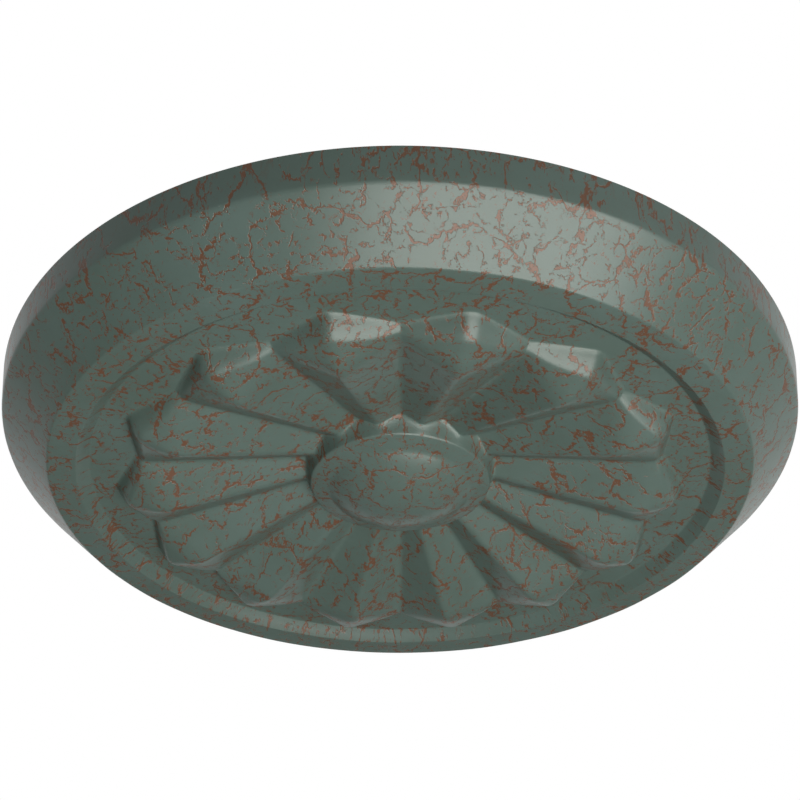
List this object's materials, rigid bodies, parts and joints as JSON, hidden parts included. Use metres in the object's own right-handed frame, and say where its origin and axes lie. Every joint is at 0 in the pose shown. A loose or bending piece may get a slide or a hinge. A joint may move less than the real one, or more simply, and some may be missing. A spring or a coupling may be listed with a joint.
{
  "type": "ceiling medallion",
  "caption": "Round cast ceiling medallion with a bevelled rim, a sunk field, a rosette of pointed petals and a domed centre button.",
  "frame": {"origin": "centre of the flat back face, where it meets the ceiling", "axes": "+Z along the axis of the medallion, up into the ceiling; the decorated face looks down along -Z; a valley between two petals points along -Y"},
  "size_m": [0.406, 0.406, 0.0533],
  "materials": {
    "painted_casting": "satin sage green paint with a fine copper brown crackle"
  },
  "bodies": {
    "root": {"medallion": "painted_casting"}
  },
  "joints": []
}
